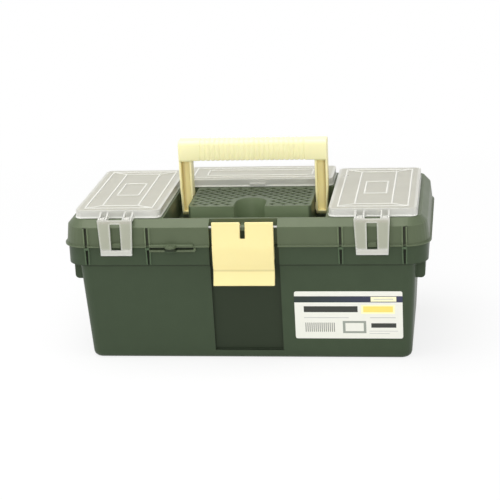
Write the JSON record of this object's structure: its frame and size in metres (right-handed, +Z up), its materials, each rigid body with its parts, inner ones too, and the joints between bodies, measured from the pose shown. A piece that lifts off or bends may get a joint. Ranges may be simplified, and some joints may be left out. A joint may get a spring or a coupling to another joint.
{
  "type": "fishing tackle box",
  "caption": "Moulded fishing tackle box with a hinged lid, clear-covered top compartments, front latch, folding carrying handle and a tray that rises with the lid.",
  "frame": {"origin": "middle of the flat underside of the base", "axes": "+X to the right seen from the latch side, +Y from the latch to the lid hinge, +Z up"},
  "size_m": [0.3632, 0.2062, 0.2044],
  "materials": {
    "green_plastic": "fine satin grain, injection moulded",
    "clear_cover": "milky clear, glossy",
    "cream_plastic": "satin",
    "tray_plastic": "satin",
    "arm_plastic": "satin",
    "steel_pin": "drawn wire",
    "label_paper": "coated paper label"
  },
  "bodies": {
    "base": {"base_tub": "green_plastic", "left_hinge_pin": "steel_pin", "right_hinge_pin": "steel_pin", "label": "label_paper"},
    "lid": {"lid_shell": "green_plastic", "lid_deck": "green_plastic", "latch_pin": "steel_pin"},
    "left_cover_body": {"left_cover": "clear_cover"},
    "right_cover_body": {"right_cover": "clear_cover"},
    "rear_cover_body": {"rear_cover": "clear_cover"},
    "left_clasp_body": {"left_clasp": "clear_cover"},
    "right_clasp_body": {"right_clasp": "clear_cover"},
    "latch": {"front_latch": "cream_plastic"},
    "handle_body": {"handle": "cream_plastic"},
    "tray_body": {"tray": "tray_plastic"},
    "left_front_arm_body": {"left_front_arm": "arm_plastic"},
    "left_rear_arm_body": {"left_rear_arm": "arm_plastic"},
    "right_front_arm_body": {"right_front_arm": "arm_plastic"},
    "right_rear_arm_body": {"right_rear_arm": "arm_plastic"},
    "left_link_body": {"left_link": "arm_plastic"},
    "right_link_body": {"right_link": "arm_plastic"}
  },
  "joints": [
    {"name": "lid_hinge", "type": "hinge", "parent": "base", "child": "lid", "pos_m": [0, 0.0996, 0.12], "axis": [-1, 0, 0], "range_deg": [0, 105]},
    {"name": "left_cover_hinge", "type": "hinge", "parent": "lid", "child": "left_cover_body", "pos_m": [-0.12535, 0.0775, 0.15], "axis": [-1, 0, 0], "range_deg": [0, 110]},
    {"name": "right_cover_hinge", "type": "hinge", "parent": "lid", "child": "right_cover_body", "pos_m": [0.12535, 0.0775, 0.15], "axis": [-1, 0, 0], "range_deg": [0, 110]},
    {"name": "rear_cover_hinge", "type": "hinge", "parent": "lid", "child": "rear_cover_body", "pos_m": [0, 0.0901, 0.15], "axis": [-1, 0, 0], "range_deg": [0, 110]},
    {"name": "left_clasp_hinge", "type": "hinge", "parent": "left_cover_body", "child": "left_clasp_body", "pos_m": [-0.12535, -0.0954, 0.1482], "axis": [-1, 0, 0], "range_deg": [0, 100]},
    {"name": "right_clasp_hinge", "type": "hinge", "parent": "right_cover_body", "child": "right_clasp_body", "pos_m": [0.12535, -0.0954, 0.1482], "axis": [-1, 0, 0], "range_deg": [0, 100]},
    {"name": "latch_hinge", "type": "hinge", "parent": "lid", "child": "latch", "pos_m": [0, -0.093, 0.1395], "axis": [-1, 0, 0], "range_deg": [0, 90]},
    {"name": "handle_fold", "type": "hinge", "parent": "lid", "child": "handle_body", "pos_m": [0, 0.0051, 0.133], "axis": [1, 0, 0], "range_deg": [0, 90]},
    {"name": "left_front_arm_pivot", "type": "hinge", "parent": "base", "child": "left_front_arm_body", "pos_m": [-0.1558, -0.017, 0.09], "axis": [-1, 0, 0], "range_deg": [0, 70.01]},
    {"name": "left_rear_arm_pivot", "type": "hinge", "parent": "base", "child": "left_rear_arm_body", "pos_m": [-0.1558, 0.055, 0.09], "axis": [-1, 0, 0], "range_deg": [0, 70.01]},
    {"name": "right_front_arm_pivot", "type": "hinge", "parent": "base", "child": "right_front_arm_body", "pos_m": [0.1558, -0.017, 0.09], "axis": [-1, 0, 0], "range_deg": [0, 70.01]},
    {"name": "right_rear_arm_pivot", "type": "hinge", "parent": "base", "child": "right_rear_arm_body", "pos_m": [0.1558, 0.055, 0.09], "axis": [-1, 0, 0], "range_deg": [0, 70.01]},
    {"name": "tray_pivot", "type": "hinge", "parent": "left_rear_arm_body", "child": "tray_body", "pos_m": [-0.1558, -0.005, 0.09], "axis": [-1, 0, 0], "range_deg": [-70.01, 0]},
    {"name": "left_link_pivot", "type": "hinge", "parent": "lid", "child": "left_link_body", "pos_m": [-0.15955, 0.0656, 0.112], "axis": [-1, 0, 0], "range_deg": [-100.6, 0]},
    {"name": "right_link_pivot", "type": "hinge", "parent": "lid", "child": "right_link_body", "pos_m": [0.15955, 0.0656, 0.112], "axis": [-1, 0, 0], "range_deg": [-100.6, 0]}
  ],
  "couplings": [
    {"joint": "left_front_arm_pivot", "follows": "lid_hinge", "ratio": 0.66667},
    {"joint": "left_rear_arm_pivot", "follows": "lid_hinge", "ratio": 0.66667},
    {"joint": "right_front_arm_pivot", "follows": "lid_hinge", "ratio": 0.66667},
    {"joint": "right_rear_arm_pivot", "follows": "lid_hinge", "ratio": 0.66667},
    {"joint": "tray_pivot", "follows": "lid_hinge", "ratio": -0.66667},
    {"joint": "left_link_pivot", "follows": "lid_hinge", "ratio": -0.95661},
    {"joint": "right_link_pivot", "follows": "lid_hinge", "ratio": -0.95661}
  ]
}
